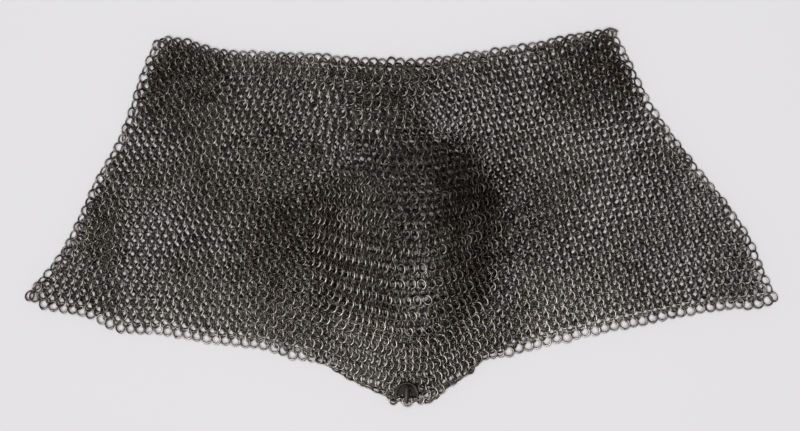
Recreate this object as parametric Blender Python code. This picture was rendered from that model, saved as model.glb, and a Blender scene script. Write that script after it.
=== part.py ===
"""Mail breeches of linked iron rings, laid flat with the front up.

The waist opening is at +Y, the two leg openings face -Y, and the crotch gusset hangs between them.
The front lies on the back, and the codpiece bulge rises from the front in the middle. Each piece is
a wall as thick as the mail, which is wider than its wire because the linked rings lean.
"""

import bisect
import math

import bmesh
import bpy
from mathutils import Vector

MM = 0.001

# The mail: rings of 9.8 mm outside diameter in rows, each ring through two in the rows on both sides
RING_OUTER_RADIUS = 4.9 * MM
RING_PITCH = 7.8 * MM
MAIL_WALL = 6.1 * MM
SEAM_GAP = 0.3 * MM
BACK_LEVEL = 0.0
FRONT_LEVEL = MAIL_WALL + SEAM_GAP
LAID_HEIGHT = FRONT_LEVEL + MAIL_WALL

# The outline of the laid-out breeches, in millimetres from its middle. The waist and hem tables
# hold x and y. The side tables hold y and x, because the sides run down.
WAIST_EDGE = (
    (-208.5, 150.0),
    (-190.0, 152.5),
    (-150.0, 142.0),
    (-110.0, 140.0),
    (-70.0, 138.0),
    (-20.0, 134.5),
    (20.0, 134.5),
    (60.0, 140.0),
    (110.0, 148.0),
    (145.0, 155.0),
    (180.0, 160.5),
)
HEM_EDGE = (
    (-316.0, -68.0),
    (-302.0, -78.0),
    (-264.0, -86.0),
    (-238.0, -98.0),
    (-200.0, -100.5),
    (-168.0, -106.5),
    (-122.0, -112.0),
    (-78.0, -122.5),
    (88.0, -118.5),
    (108.0, -112.0),
    (154.0, -100.5),
    (209.0, -89.5),
    (264.0, -80.0),
    (300.0, -77.5),
    (318.0, -72.0),
)
LEFT_SIDE = (
    (-66.0, -320.0),
    (-50.0, -305.0),
    (-30.0, -289.5),
    (0.0, -274.0),
    (30.0, -260.5),
    (60.0, -243.5),
    (90.0, -231.0),
    (120.0, -221.5),
    (151.0, -208.5),
)
RIGHT_SIDE = (
    (-70.0, 320.0),
    (-50.0, 310.0),
    (-20.0, 297.5),
    (10.0, 278.0),
    (40.0, 254.0),
    (70.0, 230.5),
    (100.0, 210.5),
    (130.0, 195.5),
    (160.5, 180.0),
)
GUSSET_EDGE = (
    (-78.0, -122.5),
    (-64.0, -127.0),
    (-52.0, -134.5),
    (-35.0, -143.5),
    (-15.0, -152.5),
    (-4.0, -159.5),
    (6.0, -160.5),
    (24.0, -158.5),
    (38.0, -147.5),
    (50.0, -139.5),
    (60.0, -132.0),
    (70.0, -122.5),
    (88.0, -118.5),
)

# The back's leg hems end higher than the front's, away from the gusset
BACK_HEM_LIFT = 7.0 * MM
BACK_HEM_RISE = 40.0 * MM

# The codpiece, a band in the middle of the front, and the seam below it where the gusset starts
CODPIECE_LEFT = -78.0 * MM
CODPIECE_RIGHT = 88.0 * MM
CODPIECE_TOP = 80.0 * MM
CODPIECE_BOTTOM = -116.0 * MM
CODPIECE_CELLS = (20, 24)

# The rounded forms of the codpiece, in millimetres: the middle's x and y, how far the form reaches
# to the left, right, waist and crotch, and how high it stands
CODPIECE_FORMS = (
    (10.0, -15.0, 86.0, 76.0, 90.0, 95.0, 46.0),
    (8.0, -84.0, 45.0, 45.0, 60.0, 32.0, 10.0),
)

# The folds at the hips, where the mail turns from the front to the back. Between two rings the
# fold is narrower by this share.
FOLD_RADIUS = LAID_HEIGHT / 2
FOLD_NARROW_SHARE = 0.86
FOLD_CLEARANCE = 2.5 * MM

# How finely the outline is drawn: the spacing along smooth lines, and the points for each ring's arc
LINE_STEP = 6.0 * MM
ARC_POINTS = 3

# The iron clasp at the crotch: a half-round dished plate with a hook lying over it
CLASP_MIDDLE = Vector((5.7, -149.0)) * MM
CLASP_RADIUS = 10.2 * MM
CLASP_CUT_BELOW = 3.5 * MM
CLASP_THICKNESS = 2.0 * MM
CLASP_RIM = 1.7 * MM
CLASP_DISH = 0.8 * MM
HOOK_RADIUS = 2.0 * MM
HOOK_LENGTH = 14.0 * MM
HOOK_TO_LEFT = 1.2 * MM
HOOK_ROUTE = (  # share of its length, drop below its back in millimetres, share of its radius
    (0.0, 0.0, 0.9),
    (0.3, -0.6, 1.0),
    (0.6, -0.4, 1.0),
    (0.85, 0.0, 0.9),
    (1.0, 0.9, 0.6),
)

MAIL_COLOUR = (0.075, 0.068, 0.062)
CLASP_COLOUR = (0.045, 0.038, 0.033)


def smooth(table, place):
    """The smooth curve through a table's rows at a place, in metres, and straight beyond its ends."""
    places = [row[0] * MM for row in table]
    values = [row[1] * MM for row in table]
    last = len(table) - 1

    def slope(i):
        low, high = max(i - 1, 0), min(i + 1, last)
        return (values[high] - values[low]) / (places[high] - places[low])

    if place <= places[0]:
        return values[0] + slope(0) * (place - places[0])
    if place >= places[-1]:
        return values[-1] + slope(last) * (place - places[-1])
    i = bisect.bisect_right(places, place) - 1
    step = places[i + 1] - places[i]
    t = (place - places[i]) / step
    rise = values[i + 1] - values[i]
    start, end = slope(i) * step - rise, rise - slope(i + 1) * step
    return values[i] + t * rise + t * (1 - t) * ((1 - t) * start + t * end)


def waist(x):
    return smooth(WAIST_EDGE, x)


def hem(x):
    return smooth(HEM_EDGE, x)


def gusset_edge(x):
    return smooth(GUSSET_EDGE, x)


def back_hem(x):
    """The back's leg hem: level with the front's at the gusset and higher along the legs."""
    beyond = max(CODPIECE_LEFT - x, x - CODPIECE_RIGHT) / BACK_HEM_RISE
    share = min(max(beyond, 0.0), 1.0)
    return hem(x) + BACK_HEM_LIFT * share * share * (3 - 2 * share)


def codpiece_rise(x, y):
    """How far the codpiece stands above the rest of the front."""
    rise = 0.0
    for middle_x, middle_y, left, right, up, down, height in CODPIECE_FORMS:
        across = (x / MM - middle_x) / (right if x > middle_x * MM else left)
        along = (y / MM - middle_y) / (up if y > middle_y * MM else down)
        rise += height * MM * max(0.0, 1 - across**2 - along**2) ** 2
    return rise


def codpiece_wall(x, y):
    """The wall's height straight up, which grows with the slope so that it stays equally thick."""
    step = 1.0 * MM
    slope_x = (codpiece_rise(x + step, y) - codpiece_rise(x - step, y)) / (2 * step)
    slope_y = (codpiece_rise(x, y + step) - codpiece_rise(x, y - step)) / (2 * step)
    return MAIL_WALL * math.sqrt(1 + slope_x**2 + slope_y**2)


def line_across(edge, start, end):
    """Points on y = edge(x) between two values of x."""
    steps = math.ceil(abs(end - start) / LINE_STEP)
    places = [start + (end - start) * i / steps for i in range(steps + 1)]
    return [Vector((x, edge(x))) for x in places]


def line_down(table, start, end):
    """Points on a side of the outline between two values of y."""
    steps = math.ceil(abs(end - start) / LINE_STEP)
    places = [start + (end - start) * i / steps for i in range(steps + 1)]
    return [Vector((smooth(table, y), y)) for y in places]


def normals(points):
    """The direction to the left of a line at each of its points."""
    found = []
    for i in range(len(points)):
        run = points[min(i + 1, len(points) - 1)] - points[max(i - 1, 0)]
        found.append(Vector((-run.y, run.x)).normalized())
    return found


def offset(points, distance):
    """The line moved to its left."""
    return [point + normal * distance for point, normal in zip(points, normals(points))]


def evenly(points, count):
    """The line's points, spaced evenly along it in count steps."""
    marks = [0.0]
    for a, b in zip(points, points[1:]):
        marks.append(marks[-1] + (b - a).length)
    spaced = []
    for step in range(count + 1):
        distance = marks[-1] * step / count
        i = min(bisect.bisect_right(marks, distance), len(marks) - 1) - 1
        spaced.append(points[i].lerp(points[i + 1], (distance - marks[i]) / (marks[i + 1] - marks[i])))
    return spaced


def ring_count(points):
    return round(sum((b - a).length for a, b in zip(points, points[1:])) / RING_PITCH)


def scalloped(points):
    """The arcs of a last row of rings along a line that has the mail on its left.

    The ends move straight along Y, as the seams there run.
    """
    spaced = evenly(points, ring_count(points) * ARC_POINTS)
    inward = normals(spaced)
    inward[0] = inward[-1] = Vector((0.0, math.copysign(1.0, inward[0].y)))
    edge = []
    for i, point in enumerate(spaced):
        from_middle = ((i % ARC_POINTS) / ARC_POINTS - 0.5) * RING_PITCH
        drop = RING_OUTER_RADIUS - math.sqrt(RING_OUTER_RADIUS**2 - from_middle**2)
        edge.append(point + inward[i] * drop)
    return edge


def beside_fold(side, top, bottom):
    """A panel's edge beside the fold at the hip, upwards, from the hem to the waist."""
    inwards = -1 if side is LEFT_SIDE else 1
    whole = line_down(side, side[0][0] * MM, side[-1][0] * MM)
    line = offset(whole, inwards * (2 * FOLD_RADIUS + SEAM_GAP))
    return [p for p in line if bottom(p.x) + FOLD_CLEARANCE < p.y < top(p.x) - FOLD_CLEARANCE]


def material(name, colour, roughness, metallic):
    made = bpy.data.materials.new(name)
    made.use_nodes = True
    shader = made.node_tree.nodes["Principled BSDF"]
    shader.inputs["Base Color"].default_value = (*colour, 1.0)
    shader.inputs["Roughness"].default_value = roughness
    shader.inputs["Metallic"].default_value = metallic
    return made


def flat_piece(name, outline, low, finish, parts):
    """A flat wall of mail, cut to an outline."""
    curve = bpy.data.curves.new(name, "CURVE")
    curve.dimensions = "2D"
    curve.fill_mode = "BOTH"
    curve.extrude = MAIL_WALL / 2
    spline = curve.splines.new("POLY")
    spline.points.add(len(outline) - 1)
    for point, place in zip(spline.points, outline):
        point.co = (place.x, place.y, 0.0, 1.0)
    spline.use_cyclic_u = True
    curve.materials.append(finish)
    piece = bpy.data.objects.new(name, curve)
    piece.location.z = low + MAIL_WALL / 2
    parts.objects.link(piece)


def rod(name, points, radius, shares, finish, parts):
    """A round bar along a line of 3D points, narrower where its share of the radius is under 1."""
    curve = bpy.data.curves.new(name, "CURVE")
    curve.dimensions = "3D"
    curve.bevel_depth = radius
    curve.bevel_resolution = 2
    curve.use_fill_caps = True
    spline = curve.splines.new("POLY")
    spline.points.add(len(points) - 1)
    for point, place, share in zip(spline.points, points, shares):
        point.co = (*place, 1.0)
        point.radius = share
    curve.materials.append(finish)
    parts.objects.link(bpy.data.objects.new(name, curve))


def mesh_piece(name, bm, finish, parts):
    """An object from a bmesh, shaded smooth but for its corners."""
    bmesh.ops.recalc_face_normals(bm, faces=bm.faces[:])
    mesh = bpy.data.meshes.new(name)
    bm.to_mesh(mesh)
    bm.free()
    mesh.shade_smooth()
    mesh.set_sharp_from_angle(angle=math.radians(40))
    mesh.materials.append(finish)
    parts.objects.link(bpy.data.objects.new(name, mesh))


def make_back(iron, parts):
    """The back panel, whole from hip to hip."""
    left = beside_fold(LEFT_SIDE, waist, back_hem)
    right = beside_fold(RIGHT_SIDE, waist, back_hem)
    left_seam = CODPIECE_LEFT - SEAM_GAP
    right_seam = CODPIECE_RIGHT + SEAM_GAP
    outline = (
        scalloped(line_across(waist, right[-1].x, left[-1].x))
        + left[::-1]
        + scalloped(line_across(back_hem, left[0].x, left_seam))
        + [Vector((left_seam, CODPIECE_BOTTOM)), Vector((right_seam, CODPIECE_BOTTOM))]
        + scalloped(line_across(back_hem, right_seam, right[0].x))
        + right
    )
    flat_piece("back_panel", outline, BACK_LEVEL, iron, parts)


def make_front(iron, parts):
    """The two front panels and the short middle panel between them over the codpiece."""
    left = beside_fold(LEFT_SIDE, waist, hem)
    right = beside_fold(RIGHT_SIDE, waist, hem)
    left_seam = CODPIECE_LEFT - SEAM_GAP
    right_seam = CODPIECE_RIGHT + SEAM_GAP
    outline = (
        scalloped(line_across(waist, left_seam, left[-1].x))
        + left[::-1]
        + scalloped(line_across(hem, left[0].x, left_seam))
    )
    flat_piece("front_left", outline, FRONT_LEVEL, iron, parts)
    outline = (
        scalloped(line_across(waist, right[-1].x, right_seam))
        + scalloped(line_across(hem, right_seam, right[0].x))
        + right
    )
    flat_piece("front_right", outline, FRONT_LEVEL, iron, parts)
    foot = CODPIECE_TOP + SEAM_GAP
    outline = scalloped(line_across(waist, CODPIECE_RIGHT, CODPIECE_LEFT))
    outline += [Vector((CODPIECE_LEFT, foot)), Vector((CODPIECE_RIGHT, foot))]
    flat_piece("front_middle", outline, FRONT_LEVEL, iron, parts)


def make_codpiece(iron, parts):
    """The codpiece: a sheet of mail, widened with extra rings so that it stands up in a bulge."""
    bm = bmesh.new()
    across, along = CODPIECE_CELLS
    bmesh.ops.create_grid(bm, x_segments=across, y_segments=along, size=0.5)
    for vert in bm.verts:
        x = CODPIECE_LEFT + (vert.co.x + 0.5) * (CODPIECE_RIGHT - CODPIECE_LEFT)
        y = CODPIECE_BOTTOM + (vert.co.y + 0.5) * (CODPIECE_TOP - CODPIECE_BOTTOM)
        vert.co = (x, y, LAID_HEIGHT + codpiece_rise(x, y) - codpiece_wall(x, y))
    made = bmesh.ops.extrude_face_region(bm, geom=bm.faces[:], use_keep_orig=True)
    for vert in made["geom"]:
        if isinstance(vert, bmesh.types.BMVert):
            vert.co.z += codpiece_wall(vert.co.x, vert.co.y)
    mesh_piece("codpiece", bm, iron, parts)


def make_gusset(iron, parts):
    """The crotch gusset, in two layers that end in a rounded point between the legs."""
    seam = CODPIECE_BOTTOM - SEAM_GAP
    outline = scalloped(line_across(gusset_edge, CODPIECE_LEFT, CODPIECE_RIGHT))
    outline += [Vector((CODPIECE_RIGHT, seam)), Vector((CODPIECE_LEFT, seam))]
    flat_piece("gusset_back", outline, BACK_LEVEL, iron, parts)
    flat_piece("gusset_front", outline, FRONT_LEVEL, iron, parts)


def make_folds(iron, parts):
    """The hip folds, each a round edge with the bulges of its rings."""
    for name, side, inward in (("hip_fold_left", LEFT_SIDE, -1), ("hip_fold_right", RIGHT_SIDE, 1)):
        line = offset(line_down(side, side[0][0] * MM, side[-1][0] * MM), inward * FOLD_RADIUS)
        rings = ring_count(line)
        middle = evenly(line, rings * ARC_POINTS)
        shares = [FOLD_NARROW_SHARE if i % ARC_POINTS == 0 else 1.0 for i in range(len(middle))]
        rod(name, [(p.x, p.y, FOLD_RADIUS) for p in middle], FOLD_RADIUS, shares, iron, parts)


def make_clasp(iron, parts):
    """The crotch clasp: a dished iron plate with its lower side cut straight, and a hook over it."""
    bm = bmesh.new()
    bmesh.ops.create_cone(
        bm,
        cap_ends=True,
        segments=28,
        radius1=CLASP_RADIUS,
        radius2=CLASP_RADIUS,
        depth=CLASP_THICKNESS,
    )
    cut = bmesh.ops.bisect_plane(
        bm,
        geom=bm.verts[:] + bm.edges[:] + bm.faces[:],
        plane_co=(0.0, -CLASP_CUT_BELOW, 0.0),
        plane_no=(0.0, -1.0, 0.0),
        clear_outer=True,
    )
    edges = [part for part in cut["geom_cut"] if isinstance(part, bmesh.types.BMEdge)]
    bmesh.ops.contextual_create(bm, geom=edges)
    top = max(bm.faces, key=lambda face: face.calc_center_median().z)
    bmesh.ops.inset_region(bm, faces=[top], thickness=CLASP_RIM)
    bmesh.ops.translate(bm, verts=top.verts[:], vec=(0.0, 0.0, -CLASP_DISH))
    low = LAID_HEIGHT + SEAM_GAP
    bmesh.ops.translate(bm, verts=bm.verts[:], vec=(*CLASP_MIDDLE, low + CLASP_THICKNESS / 2))
    mesh_piece("clasp_plate", bm, iron, parts)

    top_y = CLASP_MIDDLE.y + CLASP_RADIUS - CLASP_RIM - HOOK_RADIUS
    height = low + CLASP_THICKNESS + SEAM_GAP + HOOK_RADIUS
    x = CLASP_MIDDLE.x - HOOK_TO_LEFT
    points = [(x, top_y - share * HOOK_LENGTH, height - drop * MM) for share, drop, _ in HOOK_ROUTE]
    rod("clasp_hook", points, HOOK_RADIUS, [row[2] for row in HOOK_ROUTE], iron, parts)


def main():
    for obj in list(bpy.data.objects):
        bpy.data.objects.remove(obj, do_unlink=True)
    parts = bpy.data.collections.new("mail_breeches")
    bpy.context.scene.collection.children.link(parts)
    mail_iron = material("mail_iron", MAIL_COLOUR, 0.45, 0.9)
    clasp_iron = material("clasp_iron", CLASP_COLOUR, 0.55, 0.85)
    make_back(mail_iron, parts)
    make_front(mail_iron, parts)
    make_codpiece(mail_iron, parts)
    make_gusset(mail_iron, parts)
    make_folds(mail_iron, parts)
    make_clasp(clasp_iron, parts)


main()
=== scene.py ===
"""Mail breeches of linked iron rings, laid flat with the front up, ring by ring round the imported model."""

import bisect
import math
import random

import bmesh
import bpy
import numpy as np
from mathutils import Matrix, Vector, noise


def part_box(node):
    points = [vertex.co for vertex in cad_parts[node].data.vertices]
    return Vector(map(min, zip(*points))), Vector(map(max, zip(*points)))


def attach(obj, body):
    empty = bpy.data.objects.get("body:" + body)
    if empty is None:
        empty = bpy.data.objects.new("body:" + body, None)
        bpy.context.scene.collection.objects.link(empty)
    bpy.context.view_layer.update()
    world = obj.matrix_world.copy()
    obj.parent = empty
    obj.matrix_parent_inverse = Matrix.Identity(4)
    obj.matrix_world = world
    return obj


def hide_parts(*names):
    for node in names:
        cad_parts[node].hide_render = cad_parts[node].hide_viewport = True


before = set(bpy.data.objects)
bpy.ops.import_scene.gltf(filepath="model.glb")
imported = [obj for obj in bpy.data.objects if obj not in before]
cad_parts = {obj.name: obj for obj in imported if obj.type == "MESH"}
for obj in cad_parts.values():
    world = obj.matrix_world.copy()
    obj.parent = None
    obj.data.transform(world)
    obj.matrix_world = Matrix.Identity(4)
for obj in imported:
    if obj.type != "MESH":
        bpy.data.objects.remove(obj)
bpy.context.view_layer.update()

# The mail ring. Iron wire 1.5 mm thick is wound, cut into rings and flattened where the ends lap, and
# each lap is riveted once the ring is linked to its four neighbours.
MM = 0.001
WIRE_RADIUS = 0.75 * MM
SQUARE_FOR_ROUND = 1.12  # how much thicker four-sided wire is drawn, to look as thick as round wire
WIRE_SIDES = 4
RING_RADIUS = 4.15 * MM  # to the middle of the wire
RING_SEGMENTS = 14
LAP_WIDER = 1.5
LAP_THINNER = 0.8
TONE_SPREAD = 0.12  # how far a ring's tone differs from its neighbours'

bpy.ops.object.select_all(action="DESELECT")
bpy.ops.mesh.primitive_torus_add(
    major_radius=RING_RADIUS,
    minor_radius=WIRE_RADIUS * SQUARE_FOR_ROUND,
    major_segments=RING_SEGMENTS,
    minor_segments=WIRE_SIDES,
)
model_ring = bpy.context.object
bpy.ops.object.mode_set(mode="EDIT")
bpy.ops.mesh.select_all(action="DESELECT")
edit = bmesh.from_edit_mesh(model_ring.data)
for vert in edit.verts:
    vert.select_set(abs(math.atan2(vert.co.y, vert.co.x)) < math.pi / RING_SEGMENTS)
edit.select_flush(True)
bmesh.update_edit_mesh(model_ring.data)
bpy.ops.transform.resize(
    value=(LAP_WIDER, 1.0, LAP_THINNER), center_override=(RING_RADIUS, 0.0, 0.0)
)
bpy.ops.object.mode_set(mode="OBJECT")
ring_points = np.array([vert.co[:] for vert in model_ring.data.vertices])
ring_faces = np.array([face.vertices[:] for face in model_ring.data.polygons])
bpy.data.objects.remove(model_ring)


def linear(hex_colour):
    """An sRGB hex colour as linear red, green, blue and alpha."""
    shares = [int(hex_colour[i : i + 2], 16) / 255 for i in (1, 3, 5)]
    return [s / 12.92 if s <= 0.04045 else ((s + 0.055) / 1.055) ** 2.4 for s in shares] + [1.0]


def add_node(tree, kind, settings=(), links=()):
    """A new node with its settings, and its inputs set to values or linked to other nodes' outputs."""
    node = tree.nodes.new(kind)
    for name, value in dict(settings).items():
        setattr(node, name, value)
    for socket, value in dict(links).items():
        if isinstance(value, bpy.types.NodeSocket):
            tree.links.new(value, node.inputs[socket])
        else:
            node.inputs[socket].default_value = value
    return node


# Drawn iron wire, browned with age: a thin rusty film comes and goes along each ring over grey metal,
# and no two rings are of quite one tone, so that the mail looks nearly black with soft bright arcs. Each
# ring's tone also carries the painted shade and painted highlight that are set where the rings are laid.
RUST_COLOUR = "#372f29"
IRON_COLOUR = "#aca69e"
RUST_GRAIN = 2.5 * MM
GRAIN_RANGE = (0.3, 0.7)  # the lowest and the highest that the grain's noise mostly gets
GRAIN_WEIGHT = 0.9
RUST_BELOW = 0.25  # tones that are all rust
IRON_ABOVE = 0.85  # tones that are all metal
WIRE_ROUGHNESS = (0.36, 0.52)
mail_iron = bpy.data.materials.new("drawn_iron_wire_browned")
mail_iron.use_nodes = True
tree = mail_iron.node_tree
tree.nodes.clear()
places = add_node(tree, "ShaderNodeTexCoord")
grain = add_node(
    tree,
    "ShaderNodeTexNoise",
    links={"Vector": places.outputs["Object"], "Scale": 1 / RUST_GRAIN, "Detail": 3.0, "Roughness": 0.6},
)
tone = add_node(tree, "ShaderNodeAttribute", {"attribute_name": "ring_tone"})
both = add_node(
    tree,
    "ShaderNodeMath",
    {"operation": "MULTIPLY_ADD"},
    {0: grain.outputs["Fac"], 1: GRAIN_WEIGHT, 2: tone.outputs["Fac"]},
)
ramp = add_node(tree, "ShaderNodeValToRGB", links={"Fac": both.outputs["Value"]})
ramp.color_ramp.elements[0].position = RUST_BELOW
ramp.color_ramp.elements[0].color = linear(RUST_COLOUR)
ramp.color_ramp.elements[1].position = IRON_ABOVE
ramp.color_ramp.elements[1].color = linear(IRON_COLOUR)
rough = add_node(
    tree,
    "ShaderNodeMapRange",
    links={
        "Value": grain.outputs["Fac"],
        "From Min": GRAIN_RANGE[0],
        "From Max": GRAIN_RANGE[1],
        "To Min": WIRE_ROUGHNESS[0],
        "To Max": WIRE_ROUGHNESS[1],
    },
)
shader = add_node(
    tree,
    "ShaderNodeBsdfPrincipled",
    links={"Base Color": ramp.outputs["Color"], "Roughness": rough.outputs["Result"], "Metallic": 0.95},
)
add_node(tree, "ShaderNodeOutputMaterial", links={"Surface": shader.outputs["BSDF"]})


def weave(name, rings, seed):
    """One mesh of rings, each a copy of the model ring turned and moved to its place."""
    chance = random.Random(seed)
    turns, middles, tones = [], [], []
    for middle, along, up, tilt, shade in rings:
        across = up.cross(along).normalized()
        lean = Matrix.Rotation(tilt, 3, across)
        spin = Matrix.Rotation(chance.uniform(0, math.tau), 3, "Z")
        upright = Matrix((along, across, up)).transposed()
        turns.append(np.array(lean @ upright @ spin))
        middles.append(middle[:])
        tones.append(shade + chance.uniform(-TONE_SPREAD, TONE_SPREAD))
    points = np.einsum("nij,vj->nvi", np.array(turns), ring_points) + np.array(middles)[:, None, :]
    faces = ring_faces[None] + (np.arange(len(rings)) * len(ring_points))[:, None, None]
    mesh = bpy.data.meshes.new(name)
    mesh.from_pydata(points.reshape(-1, 3).tolist(), [], faces.reshape(-1, ring_faces.shape[1]).tolist())
    mesh.shade_smooth()
    tone_layer = mesh.attributes.new("ring_tone", "FLOAT", "POINT")
    tone_layer.data.foreach_set("value", np.repeat(tones, len(ring_points)).astype(np.float32))
    mesh.materials.append(mail_iron)
    piece = bpy.data.objects.new(name, mesh)
    bpy.context.scene.collection.objects.link(piece)
    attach(piece, "root")
    return piece


# The front of the breeches, with the codpiece in its middle. Rows of rings run from the waist to the leg
# hems, each leaning the other way from the row above. The mail maker works extra rings into the rows of
# the codpiece, so that it stands up in a bulge. Below it the rows bend down into the crotch gusset.
ROWS = 45
ROW_CLEARANCE = 4.8 * MM  # from the middle of the first and last rows to the edge
ROW_STEPS = ((0.0, 0.35, 0.7, 1.0), (0.9, 1.03, 1.05, 0.97))  # share of the way down, and distance
ROW_SLACK = 0.2  # how much of the codpiece's climb the rows draw apart for
EDGE_ROWS = 5  # the rows past the line of the leg hems, which only the gusset has
EDGE_ROW_STEP = 5.2 * MM
EDGE_ROW_SPREAD = 0.02  # how much more it is, as a share of the gusset's depth
EDGE_LEAN = 0.55  # the last row at the waist and the leg hems is drawn by one side only, and lies flatter
EDGE_UNREST = 0.5
STAGGER = 0.5  # every second row starts this much of a column later
PITCHES = ((0.0, 0.2, 0.5, 0.8, 1.0), (8.0, 7.4, 7.0, 7.4, 8.1))  # share of the way down, and mm
LEFT_COLUMN = (-150.0 * MM, -181.0 * MM)  # x at the waist and at the hem
RIGHT_COLUMN = (135.0 * MM, 180.0 * MM)
COLUMNS = 34  # on each side of those two
RING_TILT = math.radians(36)
FRONT_MIDDLE = 8.9 * MM  # how high the rings' middles are over the board
LEFT_CLEARANCE = 7.13 * MM  # from the middle of the last rings to the folds at the hips
RIGHT_CLEARANCE = 7.75 * MM
GUSSET_CLEARANCE = 5.4 * MM
SEAM_LEFT = -78.0 * MM  # between the seams the rows follow the codpiece and the gusset
SEAM_RIGHT = 88.0 * MM
WAIST_LINE = (  # x and y, in millimetres, beyond the corners too
    (-340.0, 168.0),
    (-190.0, 152.5),
    (-150.0, 142.0),
    (-110.0, 140.0),
    (-70.0, 138.0),
    (-20.0, 134.5),
    (20.0, 134.5),
    (60.0, 140.0),
    (110.0, 148.0),
    (145.0, 155.0),
    (180.0, 160.5),
    (340.0, 184.0),
)
HEM_LINE = (  # x and y
    (-316.0, -68.0),
    (-302.0, -78.0),
    (-264.0, -86.0),
    (-238.0, -98.0),
    (-200.0, -100.5),
    (-168.0, -106.5),
    (-122.0, -112.0),
    (-78.0, -122.5),
    (88.0, -118.5),
    (108.0, -112.0),
    (154.0, -100.5),
    (209.0, -89.5),
    (264.0, -80.0),
    (300.0, -77.5),
    (318.0, -72.0),
)
LEFT_LINE = (  # y and x
    (-66.0, -320.0),
    (-50.0, -305.0),
    (-30.0, -289.5),
    (0.0, -274.0),
    (30.0, -260.5),
    (60.0, -243.5),
    (90.0, -231.0),
    (120.0, -221.5),
    (151.0, -208.5),
)
RIGHT_LINE = (  # y and x
    (-70.0, 320.0),
    (-50.0, 310.0),
    (-20.0, 297.5),
    (10.0, 278.0),
    (40.0, 254.0),
    (70.0, 230.5),
    (100.0, 210.5),
    (130.0, 195.5),
    (160.5, 180.0),
)
GUSSET_LINE = (  # x and y
    (-78.0, -122.5),
    (-64.0, -127.0),
    (-52.0, -134.5),
    (-35.0, -143.5),
    (-15.0, -152.5),
    (-4.0, -159.5),
    (6.0, -160.5),
    (24.0, -158.5),
    (38.0, -147.5),
    (50.0, -139.5),
    (60.0, -132.0),
    (70.0, -122.5),
    (88.0, -118.5),
)
GUSSET_PULL = 0.55  # how much of the gusset's depth the rows above the hems' line bend down
GUSSET_DENSITY = 0.22  # and how many more rings they have there, from one y down over a distance
GUSSET_FROM = -92.0 * MM
GUSSET_OVER = 30.0 * MM
CODPIECE_FORMS = (  # x, y, reach to the left, right, waist and crotch, and height, in millimetres
    (10.0, -15.0, 86.0, 76.0, 90.0, 95.0, 46.0),
    (8.0, -84.0, 45.0, 45.0, 60.0, 32.0, 10.0),
)
CODPIECE_TILT = math.radians(42)
CODPIECE_DENSITY = 1.12
DENSE_MIDDLE = (10.0, -8.0)  # x and y, in millimetres
DENSE_REACH = (108.0, 122.0, 175.0)  # to both sides, the waist and the crotch, in millimetres
JOIN_LINE = (  # y and x, in millimetres, where the rows from both sides meet
    (-120.0, 4.0),
    (-70.0, 1.5),
    (6.0, -15.0),
    (57.0, -32.0),
    (140.0, -50.0),
)
JOIN_COLUMNS = 7  # the last columns of each side share what room is left over
JOIN_WANDER = 6.0 * MM
JOIN_WANDER_STEP = 0.31  # how far the wander's noise goes on from row to row
JOIN_WANDER_START = 1.7
JOIN_TOO_CLOSE = 0.6  # in columns: one ring is left out
JOIN_TOO_WIDE = 1.6  # in columns: one ring more goes in
UNREST_MIDDLE = 15.0 * MM  # y, on the join line
UNREST_REACH = (30.0 * MM, 95.0 * MM)
TRACE_POINTS = 84  # along a row between the seams
ROOM_FOR_RINGS = 60  # more than one side of a row between the seams holds


def smooth(table, place):
    """The smooth curve through a table's rows at a place, in metres, and straight beyond its ends."""
    rows = [(a * MM, b * MM) for a, b in table]
    last = len(rows) - 1

    def slope(i):
        low, high = max(i - 1, 0), min(i + 1, last)
        return (rows[high][1] - rows[low][1]) / (rows[high][0] - rows[low][0])

    if place <= rows[0][0]:
        return rows[0][1] + slope(0) * (place - rows[0][0])
    if place >= rows[last][0]:
        return rows[last][1] + slope(last) * (place - rows[last][0])
    i = bisect.bisect_right([row[0] for row in rows], place) - 1
    step = rows[i + 1][0] - rows[i][0]
    t = (place - rows[i][0]) / step
    rise = rows[i + 1][1] - rows[i][1]
    start, end = slope(i) * step - rise, rise - slope(i + 1) * step
    return rows[i][1] + t * rise + t * (1 - t) * ((1 - t) * start + t * end)


def codpiece_rise(x, y):
    """How far the codpiece stands above the rest of the front."""
    rise = 0.0
    for middle_x, middle_y, left, right, up, down, height in CODPIECE_FORMS:
        across = (x / MM - middle_x) / (right if x > middle_x * MM else left)
        along = (y / MM - middle_y) / (up if y > middle_y * MM else down)
        rise += height * MM * max(0.0, 1 - across**2 - along**2) ** 2
    return rise


def flat_rise(x, y):
    """The back lies flat, and rises nowhere."""
    return 0.0


def density_at(x, y):
    """How many times closer the rings stand in a row than on the flat mail around the codpiece."""
    across = (x / MM - DENSE_MIDDLE[0]) / DENSE_REACH[0]
    along = y / MM - DENSE_MIDDLE[1]
    along /= DENSE_REACH[1] if along > 0 else DENSE_REACH[2]
    near = max(0.0, 1 - across**2 - along**2)
    return 1 + (CODPIECE_DENSITY - 1) * near * (2 - near)


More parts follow.
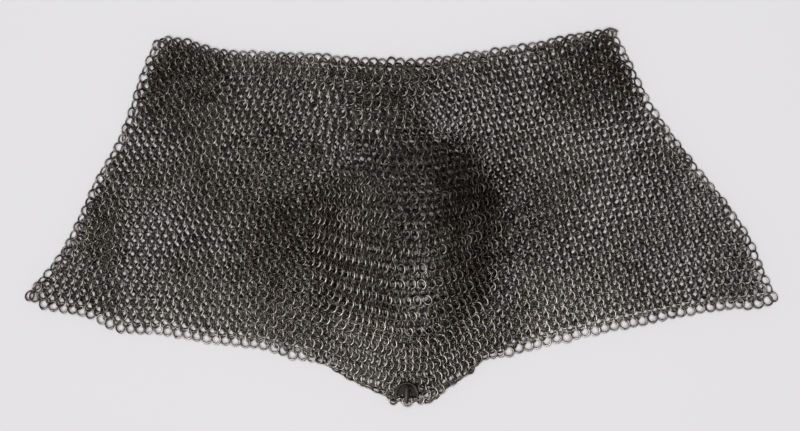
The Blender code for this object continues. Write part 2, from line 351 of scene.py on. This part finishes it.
class Layer:
    """The lines of a layer's rows, from the waist to the hem, at an even distance on its surface."""

    STEP = 4.0 * MM  # from one traced line, down the mail, to the next
    TRACE_STEPS = 120  # along each of them

    def __init__(self, rows, first, rise):
        self.rows, self.first, self.rise = rows, first, rise
        self.found = {}

    def marks(self, key):
        """The y of all the rows on the traced line with this number."""
        if key not in self.found:
            x = key * self.STEP
            hem = smooth(HEM_LINE, x)
            depth = max(0.0, hem - smooth(GUSSET_LINE, x))
            top = smooth(WAIST_LINE, x) - ROW_CLEARANCE
            ys = np.linspace(top, hem + ROW_CLEARANCE - GUSSET_PULL * depth, self.TRACE_STEPS + 1)
            zs = np.array([self.rise(x, y) for y in ys])
            lengths = np.hypot(np.diff(ys), ROW_SLACK * np.diff(zs))
            lengths /= np.interp(np.linspace(0, 1, self.TRACE_STEPS), *ROW_STEPS)
            run = np.concatenate([[0], np.cumsum(lengths)])
            each = run[-1] / (ROWS - 1)
            spots = np.interp((self.first + np.arange(self.rows)) * each, run, ys)
            below = np.arange(1, EDGE_ROWS + 1) * (EDGE_ROW_STEP + EDGE_ROW_SPREAD * depth)
            self.found[key] = np.concatenate([spots, spots[-1] - below])
        return self.found[key]

    def at(self, x, row):
        """The y of a row at x, between the traced lines."""
        low = math.floor(x / self.STEP)
        share = x / self.STEP - low
        return self.marks(low)[row] * (1 - share) + self.marks(low + 1)[row] * share


def column_places(line, row_share, phase):
    """Where the columns beside a middle column cross a row, on mail that lies flat."""
    pitch = float(np.interp(row_share, *PITCHES)) * MM
    middle = line[0] + (line[1] - line[0]) * row_share
    return [middle + (column + phase) * pitch for column in range(-COLUMNS, COLUMNS + 1)]


def row_places(layer, row, phase):
    """The x of each ring in a row, with more rings where the row climbs the codpiece."""
    share = (layer.first + row) / (ROWS - 1)
    spots = np.linspace(SEAM_LEFT, SEAM_RIGHT, TRACE_POINTS)
    points = np.array([(x, layer.at(x, row), layer.rise(x, layer.at(x, row))) for x in spots])
    spans = np.linalg.norm(np.diff(points, axis=0), axis=1)
    if layer.rise is codpiece_rise:
        spans = spans * [density_at(x, y) for x, y, z in (points[1:] + points[:-1]) / 2]
    spans = spans * (1 + GUSSET_DENSITY * np.clip((GUSSET_FROM - points[1:, 1]) / GUSSET_OVER, 0.0, 1.0))
    run = np.concatenate([[0], np.cumsum(spans)])
    wander = JOIN_WANDER * noise.noise(Vector((row * JOIN_WANDER_STEP, JOIN_WANDER_START, 0)))
    join = np.interp(smooth(JOIN_LINE, layer.at(0.0, row)) + wander, spots, run)
    left = column_places(LEFT_COLUMN, share, phase)
    right = column_places(RIGHT_COLUMN, share, phase)
    pitch = left[1] - left[0]
    first = min(x for x in left if x >= SEAM_LEFT) - SEAM_LEFT
    last = run[-1] - (SEAM_RIGHT - max(x for x in right if x <= SEAM_RIGHT))
    from_left = [first + i * pitch for i in range(ROOM_FOR_RINGS) if first + i * pitch < join]
    from_right = [last - i * pitch for i in range(ROOM_FOR_RINGS) if last - i * pitch > join]
    gap = from_right[-1] - from_left[-1]
    if gap < JOIN_TOO_CLOSE * pitch:
        from_left.pop()
        gap = from_right[-1] - from_left[-1]
    if gap > JOIN_TOO_WIDE * pitch:
        from_left.append(from_left[-1] + gap / 2)
        gap = from_right[-1] - from_left[-1]
    spare = (gap - pitch) / 2
    for i in range(min(JOIN_COLUMNS, len(from_left), len(from_right))):
        from_left[-1 - i] += spare * (1 - i / JOIN_COLUMNS)
        from_right[-1 - i] -= spare * (1 - i / JOIN_COLUMNS)
    middle = [float(np.interp(a, run, spots)) for a in from_left + from_right]
    return [x for x in left if x < SEAM_LEFT] + middle + [x for x in right if x > SEAM_RIGHT]


def on_mail(layer, x, y, row):
    """Whether a ring there is inside the sheet: between the folds, and above the gusset's edge."""
    if not smooth(LEFT_LINE, y) + LEFT_CLEARANCE < x < smooth(RIGHT_LINE, y) - RIGHT_CLEARANCE:
        return False
    in_gusset = SEAM_LEFT < x < SEAM_RIGHT and y > smooth(GUSSET_LINE, x) + GUSSET_CLEARANCE
    return row < layer.rows or in_gusset


# How the rings of both layers lie. Mail is uneven where it was worn and handled: in soft round patches
# the rings lie flatter, and their tone is painted darker with rust and painted shade, or lighter with
# rubbing and painted highlight. The painted shade lies on and beside the codpiece's bulge, and the
# painted highlight low down, at the gusset and the leg hems.
PATCHES = (  # x, y and reach in millimetres, how much darker, and how much flatter the rings lie
    (-190.0, 118.0, 60.0, 0.4, 1.0),
    (168.0, 128.0, 60.0, 0.6, 1.0),
    (122.0, 0.0, 52.0, 0.25, 0.3),
    (-105.0, 20.0, 70.0, 0.28, 0.6),
    (-88.0, -35.0, 60.0, 0.25, 1.0),
    (58.0, 30.0, 44.0, 0.4, 0.3),
    (63.0, -15.0, 42.0, 0.35, 0.5),
    (60.0, -52.0, 40.0, 0.3, 0.5),
    (10.0, -10.0, 40.0, 0.25, 0.0),
    (-5.0, 118.0, 40.0, 0.2, 0.4),
    (-90.0, -95.0, 60.0, -0.25, 0.5),
    (-30.0, -128.0, 58.0, -0.8, 0.8),
    (38.0, -132.0, 40.0, -0.2, 0.8),
    (150.0, -100.0, 60.0, -0.7, 0.0),
    (-170.0, -100.0, 60.0, -0.5, 0.0),
)
PATCH_FALL = 0.8  # how fast a patch ends at its rim
PATCH_SHADE = 0.3
PATCH_LESS_LEAN = 0.15
LIT_ROWS_SPOT = (-45.0, -55.0, 75.0)  # x, y and reach in millimetres of where every second row gets a painted highlight and the rows between them painted shade, as rows that lean towards the light and away from it
LIT_ROWS_HIGHLIGHT = 0.18  # and is rubbed brighter
SLOPE_STEP = 2.0 * MM
SLOPE_FOLLOWED = 0.6  # on a slope the rings turn with the mail, but hang back by the rest
LEAN_DRIFT = 0.18  # the slow change in how far the rings lean, over the mail
LEAN_DRIFT_SIZE = (45.0 * MM, 45.0 * MM)
LEAN_DRIFT_MARK = 200.0  # for each metre of height, so that each layer has a drift of its own
SHADE_DRIFT = 0.06
SHADE_DRIFT_SIZE = (60.0 * MM, 60.0 * MM)
SHADE_DRIFT_MARK = (5.0, 300.0)  # on the board, and for each metre of height
UNEVEN_TILT = (3.0, 7.0)  # degrees in calm mail, and how many more in the most uneven
UNEVEN_NOD = (2.0, 7.0)
UNEVEN_PLACE = (0.12, 0.6)  # the same for the rings' places, in millimetres
UNEVEN_LIFT = 0.1 * MM


def patch_at(x, y):
    """How much darker the mail is there, and how much flatter its rings lie, from 0 to 1."""
    darker, flatter = 0.0, 0.0
    for middle_x, middle_y, reach, dark, flat in PATCHES:
        away = ((x / MM - middle_x) ** 2 + (y / MM - middle_y) ** 2) / reach**2
        near = max(0.0, 1 - away) ** PATCH_FALL
        darker += dark * near
        flatter = max(flatter, flat * near)
    return darker, flatter


def unrest_at(x, y):
    """How uneven the mail lies: most where the codpiece's extra rings start."""
    across = (x - smooth(JOIN_LINE, y)) / UNREST_REACH[0]
    along = (y - UNREST_MIDDLE) / UNREST_REACH[1]
    return max(0.0, 1 - across**2 - along**2)


def lean_at(x, y):
    """How far the front's rings lean: more where the codpiece draws them together."""
    share = (density_at(x, y) - 1) / (CODPIECE_DENSITY - 1)
    lean = RING_TILT + (CODPIECE_TILT - RING_TILT) * share
    return lean * (1 - PATCH_LESS_LEAN * patch_at(x, y)[1])


def drift(x, y, size, mark):
    """A slow change over the mail, from -1 to 1, and another for each mark."""
    return noise.noise(Vector((x / size[0], y / size[1], mark)))


def laid_ring(lines, x, y, row, level, lean, chance, unrest):
    """A ring on its layer's surface: its middle, the way along its row, the way up, its lean and shade."""
    rise, step = lines.rise, SLOPE_STEP
    slope_x = (rise(x + step, y) - rise(x - step, y)) / (2 * step)
    slope_y = (rise(x, y + step) - rise(x, y - step)) / (2 * step)
    down = (lines.at(x + step, row) - lines.at(x - step, row)) / (2 * step)
    out = Vector((-slope_x, -slope_y, 1.0)).normalized()
    slope_x, slope_y = SLOPE_FOLLOWED * slope_x, SLOPE_FOLLOWED * slope_y
    up = Vector((-slope_x, -slope_y, 1.0)).normalized()
    along = Vector((1.0, down, slope_x + slope_y * down)).normalized()
    odd_or_even = 1 if row % 2 else -1

    leaning = drift(x, y, LEAN_DRIFT_SIZE, level * LEAN_DRIFT_MARK)
    tilt = lean * (1 + LEAN_DRIFT * leaning) * odd_or_even
    tilt += math.radians(chance.gauss(0, UNEVEN_TILT[0] + UNEVEN_TILT[1] * unrest))
    nod_angle = math.radians(chance.gauss(0, UNEVEN_NOD[0] + UNEVEN_NOD[1] * unrest))
    nod = Matrix.Rotation(nod_angle, 3, along)

    wander = (UNEVEN_PLACE[0] + UNEVEN_PLACE[1] * unrest) * MM
    place = Vector((x + chance.gauss(0, wander), y + chance.gauss(0, wander), 0.0))
    reach = RING_RADIUS * abs(math.sin(tilt)) + WIRE_RADIUS * SQUARE_FOR_ROUND
    lift = max(level + chance.gauss(0, UNEVEN_LIFT), reach)
    place += out * lift + Vector((0.0, 0.0, rise(x, y)))

    mark = SHADE_DRIFT_MARK[0] + level * SHADE_DRIFT_MARK[1]
    shade = SHADE_DRIFT * drift(x, y, SHADE_DRIFT_SIZE, mark)
    # The patches' tone: rust and rubbing, with painted shade round the codpiece and painted highlight low
    # down.
    darker = patch_at(x, y)[0]
    shade -= PATCH_SHADE * (max(darker, 0.0) if rise is flat_rise else darker)  # the back gets the darker patches only, without the rubbing and painted highlight
    # Painted highlight on the rows that lean towards the light from the lower left, painted shade on the
    # rows between them.
    if rise is codpiece_rise:
        middle_x, middle_y, far = LIT_ROWS_SPOT
        near = max(0.0, 1 - ((x / MM - middle_x) ** 2 + (y / MM - middle_y) ** 2) / far**2)
        shade -= LIT_ROWS_HIGHLIGHT * near * odd_or_even
    return place, along, nod @ up, tilt, shade


# The panels of the front, each a sheet of mail of its own that is linked to the next: left, middle and
# right, the codpiece, and the front of the gusset, whose edge comes further down.
front_layer = Layer(ROWS, 0.0, codpiece_rise)
chance = random.Random(11)
front = {"front_left": [], "front_middle": [], "front_right": [], "codpiece": [], "gusset_front": []}
codpiece_low, codpiece_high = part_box("codpiece")
for row in range(ROWS + EDGE_ROWS):
    for x in row_places(front_layer, row, STAGGER * (row % 2)):
        y = front_layer.at(x, row)
        if not on_mail(front_layer, x, y, row):
            continue
        if x < codpiece_low[0]:
            name = "front_left"
        elif x > codpiece_high[0]:
            name = "front_right"
        elif y < codpiece_low[1]:
            name = "gusset_front"
        else:
            name = "front_middle" if y > codpiece_high[1] else "codpiece"
        open_edge = row == 0 or (row == ROWS - 1 and not SEAM_LEFT < x < SEAM_RIGHT)
        lean = lean_at(x, y) * (EDGE_LEAN if open_edge else 1.0)
        unrest = EDGE_UNREST if open_edge else unrest_at(x, y)
        front[name].append(laid_ring(front_layer, x, y, row, FRONT_MIDDLE, lean, chance, unrest))
for seed, (name, rings) in enumerate(front.items()):
    weave(f"{name}_rings", rings, seed)
    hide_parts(name)


# The slack of the codpiece lies doubled inside its bulge and a little beside it, a second layer of the
# same rings, so that no light comes through it.
DOUBLED_PHASE = 0.25
DOUBLED_ABOVE = 2.0 * MM  # how far the codpiece has risen where the second layer starts
DOUBLED_RIM = (0.9, 1.8)  # the lowest and the highest share of that, so that its rim is uneven
DOUBLED_FULLY = 8.0 * MM  # and where it is the bulge's inside
DOUBLED_MIDDLE = (4.2 * MM, 3.1 * MM)  # at the rim of the bulge, and inside it
DOUBLED_LEAN = (0.22, 1.0)
DOUBLED_UNREST = 0.3
DOUBLED_BESIDE = ((-140.0 * MM, -55.0 * MM), (-105.0 * MM, 60.0 * MM))  # from x to x, and y to y
BESIDE_FLATTER = (0.25, 0.7)  # beside it the layer is where the mail lies flatter than one of these
doubled = []
for row in range(ROWS - 1):
    for x in row_places(front_layer, row, DOUBLED_PHASE + STAGGER * (row % 2)):
        y = (front_layer.at(x, row) + front_layer.at(x, row + 1)) / 2
        rise = codpiece_rise(x, y)
        (left, right), (low, high) = DOUBLED_BESIDE
        beside = left < x < right and low < y < high
        beside = beside and patch_at(x, y)[1] > chance.uniform(*BESIDE_FLATTER)
        if beside or rise > DOUBLED_ABOVE * chance.uniform(*DOUBLED_RIM):
            inside = min(rise / DOUBLED_FULLY, 1.0)
            level = float(np.interp(inside, (0, 1), DOUBLED_MIDDLE))
            lean = RING_TILT * float(np.interp(inside, (0, 1), DOUBLED_LEAN))
            unrest = DOUBLED_UNREST * inside
            doubled.append(laid_ring(front_layer, x, y, row, level, lean, chance, unrest))
piece = weave("codpiece_doubled_rings", doubled, seed=5)
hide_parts("codpiece")


# The back of the breeches, one sheet of the same mail from hip to hip, with its gusset. It shows through
# the front's rings, and its leg hems hang a little higher than the front's.
BACK_ROWS = 43
BACK_FIRST = 0.5  # its rows lie half a row below the front's
BACK_PHASE = 0.5
BACK_MIDDLE = 3.2 * MM
BACK_TILT = math.radians(26)
BACK_LESS_LEAN = 0.7  # where the mail lies flattest
BACK_SINK = 1.7 * MM  # and how much lower it is there
BACK_SLIP = 1.3 * MM  # how far it slips up and down under the front
BACK_SLIP_SIZE = (70.0 * MM, 50.0 * MM)
BACK_SLIP_MARK = 9.0
BACK_SLIP_WHERE_FLAT = 0.5

back_layer = Layer(BACK_ROWS, BACK_FIRST, flat_rise)
back = {"back_left": [], "back_right": [], "gusset_back": []}
for row in range(BACK_ROWS + EDGE_ROWS):
    for x in row_places(back_layer, row, BACK_PHASE + STAGGER * (row % 2)):
        y = back_layer.at(x, row)
        if not on_mail(back_layer, x, y, row):
            continue
        name = "back_left" if x < 0 else "back_right"
        if codpiece_low[0] < x < codpiece_high[0] and y < codpiece_low[1]:
            name = "gusset_back"
        flat = patch_at(x, y)[1]
        slip = drift(x, y, BACK_SLIP_SIZE, BACK_SLIP_MARK) * (1 - flat) + BACK_SLIP_WHERE_FLAT * flat
        spot = y + BACK_SLIP * slip
        lean, level = BACK_TILT * (1 - BACK_LESS_LEAN * flat), BACK_MIDDLE - BACK_SINK * flat
        back[name].append(laid_ring(back_layer, x, spot, row, level, lean, chance, 0.0))
for seed, (name, rings) in enumerate(back.items(), start=10):
    weave(f"{name}_rings", rings, seed)
    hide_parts("gusset_back" if name == "gusset_back" else "back_panel")


# The folds at the hips, where the mail turns from the front to the back. One ring after another stands
# on edge there, and shows past the sheets' edge as a scallop. One ring has come loose at a corner.
FOLD_PITCH = 7.8 * MM
FOLD_MIDDLE = 6.2 * MM
FOLD_STANDS = (25, 60)  # degrees, the least and the most
FOLD_UNEVEN = 0.08
FOLD_POINTS = 200
STRAY_RING = (178.7 * MM, 158.0 * MM)
STRAY_WAY = (0.3, 1.0, 0.0)
STRAY_LEAN = 1.3


def folded_rings(line, pitch, inset, stands, chance):
    """Rings on edge along a fold that has the mail on its left, each leaning the other way."""
    run = np.concatenate([[0], np.cumsum([(b - a).length for a, b in zip(line, line[1:])])])
    count = round(run[-1] / pitch)
    rings = []
    for i in range(count):
        spot = (i + 0.5 + chance.gauss(0, FOLD_UNEVEN)) / count * run[-1]
        at = int(np.searchsorted(run, spot)) - 1
        here = line[at].lerp(line[at + 1], (spot - run[at]) / (run[at + 1] - run[at]))
        ahead = (line[at + 1] - line[at]).normalized()
        out = Vector((ahead.y, -ahead.x, 0.0))
        stand = math.radians(chance.uniform(*stands)) * (1 if i % 2 else -1)
        middle = here - out * (inset + (RING_RADIUS + WIRE_RADIUS) * math.cos(stand))
        middle.z = FOLD_MIDDLE
        rings.append((middle, out, Vector((0.0, 0.0, 1.0)), stand, 0.0))
    return rings


for name, table, down, seed in (
    ("hip_fold_left", LEFT_LINE, True, 20),
    ("hip_fold_right", RIGHT_LINE, False, 21),
):
    chance = random.Random(seed)
    ys = np.linspace(table[0][0], table[-1][0], FOLD_POINTS) * MM
    line = [Vector((smooth(table, y), y, 0.0)) for y in ys]
    rings = folded_rings(line[::-1] if down else line, FOLD_PITCH, 0.0, FOLD_STANDS, chance)
    if name == "hip_fold_right":
        stray = Vector((*STRAY_RING, 2 * FOLD_MIDDLE))
        rings.append((stray, Vector(STRAY_WAY).normalized(), Vector((0, 0, 1)), STRAY_LEAN, 0.0))
    piece = weave(f"{name}_rings", rings, seed)
    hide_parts(name)


# The gusset's edge, where the mail of its front turns into that of its back, ring by ring on edge. Three
# rings at its point are drawn up to the clasp, and the middle one hangs on its hook.
GUSSET_FOLD_SPANS = ((-72.0, -8.0), (22.0, 74.0))  # from x to x, in millimetres, beside the clasp
GUSSET_FOLD_PITCH = 6.6 * MM
GUSSET_FOLD_INSET = 1.2 * MM
GUSSET_FOLD_STANDS = (50, 75)
GUSSET_FOLD_POINTS = 100
HELD_SHADE = 0.15
HELD_RINGS = (  # x, y and z in millimetres, and lean: the ring on the clasp's hook, and two beside it
    (5.2, -155.6, 11.4, 0.15),
    (-6.5, -154.2, 10.6, 0.7),
    (16.2, -153.8, 10.6, -0.7),
)
chance = random.Random(22)
rings = []
for start, end in GUSSET_FOLD_SPANS:
    xs = np.linspace(start, end, GUSSET_FOLD_POINTS) * MM
    line = [Vector((x, smooth(GUSSET_LINE, x), 0.0)) for x in xs]
    rings += folded_rings(line, GUSSET_FOLD_PITCH, GUSSET_FOLD_INSET, GUSSET_FOLD_STANDS, chance)
for x, y, z, lean in HELD_RINGS:
    rings.append((Vector((x, y, z)) * MM, Vector((1, 0, 0)), Vector((0, 0, 1)), lean, HELD_SHADE))
piece = weave("gusset_fold_rings", rings, seed=22)
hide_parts("gusset_front", "gusset_back")


# The plate of the iron clasp at the gusset's point. A smith cuts a half disc of sheet, dishes it, lays a
# bar round its edge, cuts a slot beside the hook and rivets it down.
PLATE_MIDDLE = (4.6 * MM, -149.2 * MM, 13.8 * MM)
PLATE_RADIUS = 10.2 * MM
PLATE_SEGMENTS = 48
PLATE_THICKNESS = 2.0 * MM
PLATE_CUT = 3.5  # how far below its middle the disc is cut off straight, in millimetres
PLATE_RIM = 1.7 * MM
PLATE_DISH = 0.9 * MM
PLATE_ROUNDING = 0.35 * MM
RIM_BAR_RADIUS = 1.35 * MM
RIM_BAR_RISE = 0.7 * MM
RIM_BAR_INSET = 0.8  # how much of its radius the bar lies inside the plate's edge
RIM_BAR_SHORTER = 0.2  # than the plate, in millimetres
SLOT = ((2.4, -1.2, -5.0), (3.6, 6.2, 5.0))  # two corners, in millimetres
PAST_THE_PLATE = (20, 5)  # sideways and through it, in millimetres
FACES_UP = 0.9  # the least that a normal's z is on the plate's top

# Forged iron under a dark brown patina: nearly black and uneven in gloss. The rim and the hook, which
# stand highest, are painted a little lighter, a painted highlight where they catch the light.
PATINA_COLOUR = "#231f1c"
RIM_HIGHLIGHT_COLOUR = "#3a3632"
RIM_HIGHLIGHT_FROM = (14.6 * MM, 16.0 * MM)  # heights at which the painted highlight starts, and is whole
PATINA_GRAIN = 1.111 * MM
PATINA_ROUGHNESS = (0.4, 0.65)
clasp_iron = bpy.data.materials.new("forged_iron_patina")
clasp_iron.use_nodes = True
tree = clasp_iron.node_tree
tree.nodes.clear()
places = add_node(tree, "ShaderNodeTexCoord")
grain = add_node(
    tree,
    "ShaderNodeTexNoise",
    links={"Vector": places.outputs["Object"], "Scale": 1 / PATINA_GRAIN, "Detail": 3.0},
)
rough = add_node(
    tree,
    "ShaderNodeMapRange",
    links={
        "Value": grain.outputs["Fac"],
        "From Min": GRAIN_RANGE[0],
        "From Max": GRAIN_RANGE[1],
        "To Min": PATINA_ROUGHNESS[0],
        "To Max": PATINA_ROUGHNESS[1],
    },
)
height = add_node(tree, "ShaderNodeSeparateXYZ", links={"Vector": places.outputs["Object"]})
# Painted highlight on what stands highest: the rim and the hook.
rim_highlight = add_node(
    tree,
    "ShaderNodeMapRange",
    links={"Value": height.outputs["Z"], "From Min": RIM_HIGHLIGHT_FROM[0], "From Max": RIM_HIGHLIGHT_FROM[1]},
)
ramp = add_node(tree, "ShaderNodeValToRGB", links={"Fac": rim_highlight.outputs["Result"]})
ramp.color_ramp.elements[0].color = linear(PATINA_COLOUR)
ramp.color_ramp.elements[1].color = linear(RIM_HIGHLIGHT_COLOUR)
shader = add_node(
    tree,
    "ShaderNodeBsdfPrincipled",
    links={"Base Color": ramp.outputs["Color"], "Roughness": rough.outputs["Result"], "Metallic": 0.85},
)
add_node(tree, "ShaderNodeOutputMaterial", links={"Surface": shader.outputs["BSDF"]})


def cut_away(piece, low, high):
    """Cuts a box, given by two corners in millimetres, out of a piece."""
    low, high = Vector(low) * MM, Vector(high) * MM
    bpy.ops.mesh.primitive_cube_add(size=1.0, location=(low + high) / 2, scale=high - low)
    cutter = bpy.context.object
    knife = piece.modifiers.new("cut", "BOOLEAN")
    knife.operation = "DIFFERENCE"
    knife.object = cutter
    bpy.context.view_layer.objects.active = piece
    bpy.ops.object.modifier_apply(modifier=knife.name)
    bpy.data.objects.remove(cutter)


far, deep = PAST_THE_PLATE
bpy.ops.object.select_all(action="DESELECT")
bpy.ops.mesh.primitive_cylinder_add(vertices=PLATE_SEGMENTS, radius=PLATE_RADIUS, depth=PLATE_THICKNESS)
plate = bpy.context.object
cut_away(plate, (-far, -far, -deep), (far, -PLATE_CUT, deep))
bpy.ops.object.mode_set(mode="EDIT")
bpy.ops.mesh.select_all(action="DESELECT")
edit = bmesh.from_edit_mesh(plate.data)
for face in edit.faces:
    face.select_set(face.normal.z > FACES_UP)
bmesh.update_edit_mesh(plate.data)
bpy.ops.mesh.inset(thickness=PLATE_RIM)
bpy.ops.transform.translate(value=(0.0, 0.0, -PLATE_DISH))
bpy.ops.object.mode_set(mode="OBJECT")
cut_away(plate, *SLOT)
rounding = plate.modifiers.new("rounding", "BEVEL")
rounding.width = PLATE_ROUNDING
rounding.segments = 2
bpy.ops.object.modifier_apply(modifier=rounding.name)

bpy.ops.mesh.primitive_torus_add(
    location=(0.0, 0.0, RIM_BAR_RISE),
    major_radius=PLATE_RADIUS - RIM_BAR_RADIUS * RIM_BAR_INSET,
    minor_radius=RIM_BAR_RADIUS,
    major_segments=PLATE_SEGMENTS,
    minor_segments=10,
)
rim = bpy.context.object
cut_away(rim, (-far, -far, -deep), (far, -PLATE_CUT + RIM_BAR_SHORTER, deep))
plate.select_set(True)
rim.select_set(True)
bpy.context.view_layer.objects.active = plate
bpy.ops.object.join()
plate.location = PLATE_MIDDLE
bpy.ops.object.transform_apply()
plate.name = "clasp_plate_forged"
plate.data.materials.clear()
plate.data.materials.append(clasp_iron)
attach(plate, "root")
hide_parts("clasp_plate")

# The plate's two rivets, of the same iron wire as the rings, with ends hammered to round heads. They hold
# the plate on the mail.
RIVETS = ((-2.0, -151.2), (1.2, -150.2))  # x and y, in millimetres
RIVET_RADIUS = 1.0 * MM
RIVET_HEIGHT = 14.0 * MM
heads = []
for x, y in RIVETS:
    bpy.ops.mesh.primitive_uv_sphere_add(
        segments=16, ring_count=8, radius=RIVET_RADIUS, location=(x * MM, y * MM, RIVET_HEIGHT)
    )
    heads.append(bpy.context.object)
for head in heads:
    head.select_set(True)
bpy.ops.object.join()
rivets = bpy.context.object
bpy.ops.object.transform_apply()
bpy.ops.object.shade_smooth()
rivets.name = "clasp_rivets"
rivets.data.materials.append(mail_iron)
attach(rivets, "root")

# The clasp's hook. A smith draws an iron bar out to a round point, bends it down into the last rings and
# leaves it thick where it lies on the plate.
HOOK_RADIUS = 2.3 * MM
HOOK_X = 4.7 * MM
HOOK_ROUTE = (  # y and z in millimetres, and share of its radius
    (-141.6, 16.2, 0.75),
    (-143.0, 16.9, 1.0),
    (-146.5, 17.5, 1.0),
    (-150.5, 17.4, 0.95),
    (-153.8, 16.9, 0.85),
    (-156.0, 16.0, 0.7),
    (-157.0, 14.4, 0.5),
    (-156.4, 12.8, 0.35),
)
route = bpy.data.curves.new("clasp_hook_forged", "CURVE")
route.dimensions = "3D"
route.bevel_depth = HOOK_RADIUS
route.bevel_resolution = 4
route.use_fill_caps = True
bar = route.splines.new("NURBS")
bar.points.add(len(HOOK_ROUTE) - 1)
bar.use_endpoint_u = True
bar.resolution_u = 4
for point, (y, z, share) in zip(bar.points, HOOK_ROUTE):
    point.co = (HOOK_X, y * MM, z * MM, 1.0)
    point.radius = share
hook = bpy.data.objects.new("clasp_hook_forged", route)
bpy.context.scene.collection.objects.link(hook)
bpy.ops.object.select_all(action="DESELECT")
hook.select_set(True)
bpy.context.view_layer.objects.active = hook
bpy.ops.object.convert(target="MESH")
bpy.ops.object.shade_smooth()
hook.data.materials.clear()
hook.data.materials.append(clasp_iron)
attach(hook, "root")
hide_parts("clasp_hook")

# The board that the breeches lie on, covered with pale paper: matt, so that it looks evenly bright.
BOARD_COLOUR = "#ebe9eb"
BOARD_SIZE = 6.0
board_paper = bpy.data.materials.new("pale_paper")
board_paper.use_nodes = True
shader = board_paper.node_tree.nodes["Principled BSDF"]
shader.inputs["Base Color"].default_value = linear(BOARD_COLOUR)
shader.inputs["Roughness"].default_value = 0.9
bpy.ops.object.select_all(action="DESELECT")
bpy.ops.mesh.primitive_plane_add(size=BOARD_SIZE)
board = bpy.context.object
board.name = "board"
board.data.materials.append(board_paper)

# The studio's light: a pale room, a soft key light from the lower left and a soft one overhead. The key
# doesn't reach the board, so that no shadow shows on it, and a light for the board alone makes up for it.
ROOM_COLOUR = "#f2f3f6"
ROOM_STRENGTH = 0.2
LIGHT_SIZE = 1.6
KEY_PLACE, KEY_POWER = (-2.6, -2.0, 2.4), 190
OVERHEAD_PLACE, OVERHEAD_POWER, BOARD_POWER = (-0.1, -0.1, 4.0), 70, 58
world = bpy.data.worlds.new("soft_room")
bpy.context.scene.world = world
world.use_nodes = True
world.node_tree.nodes["Background"].inputs["Color"].default_value = linear(ROOM_COLOUR)
world.node_tree.nodes["Background"].inputs["Strength"].default_value = ROOM_STRENGTH


def soft_light(name, place, power):
    """A square soft light that shines on the breeches from its place."""
    data = bpy.data.lights.new(name, "AREA")
    data.shape = "RECTANGLE"
    data.size = data.size_y = LIGHT_SIZE
    data.energy = power
    lamp = bpy.data.objects.new(name, data)
    lamp.location = place
    lamp.rotation_euler = (-Vector(place)).to_track_quat("-Z", "Y").to_euler()
    bpy.context.scene.collection.objects.link(lamp)
    return lamp


key = soft_light("key", KEY_PLACE, KEY_POWER)
all_but_board = bpy.data.collections.new("all_but_board")
all_but_board.objects.link(board)
all_but_board.collection_objects[0].light_linking.link_state = "EXCLUDE"
key.light_linking.receiver_collection = all_but_board
soft_light("overhead", OVERHEAD_PLACE, OVERHEAD_POWER)
board_light = soft_light("board_light", OVERHEAD_PLACE, BOARD_POWER)
board_only = bpy.data.collections.new("board_only")
board_only.objects.link(board)
board_light.light_linking.receiver_collection = board_only

# The camera, straight above the breeches, as the photograph was taken.
CAMERA_PLACE = (-1.1 * MM, 1.3 * MM, 1.889)
LENS = 100.0
SENSOR = 36.0
camera_data = bpy.data.cameras.new("camera")
camera_data.lens = LENS
camera_data.sensor_width = SENSOR
camera = bpy.data.objects.new("camera", camera_data)
camera.location = CAMERA_PLACE
bpy.context.scene.collection.objects.link(camera)
bpy.context.scene.camera = camera
bpy.context.scene.view_settings.view_transform = "Standard"
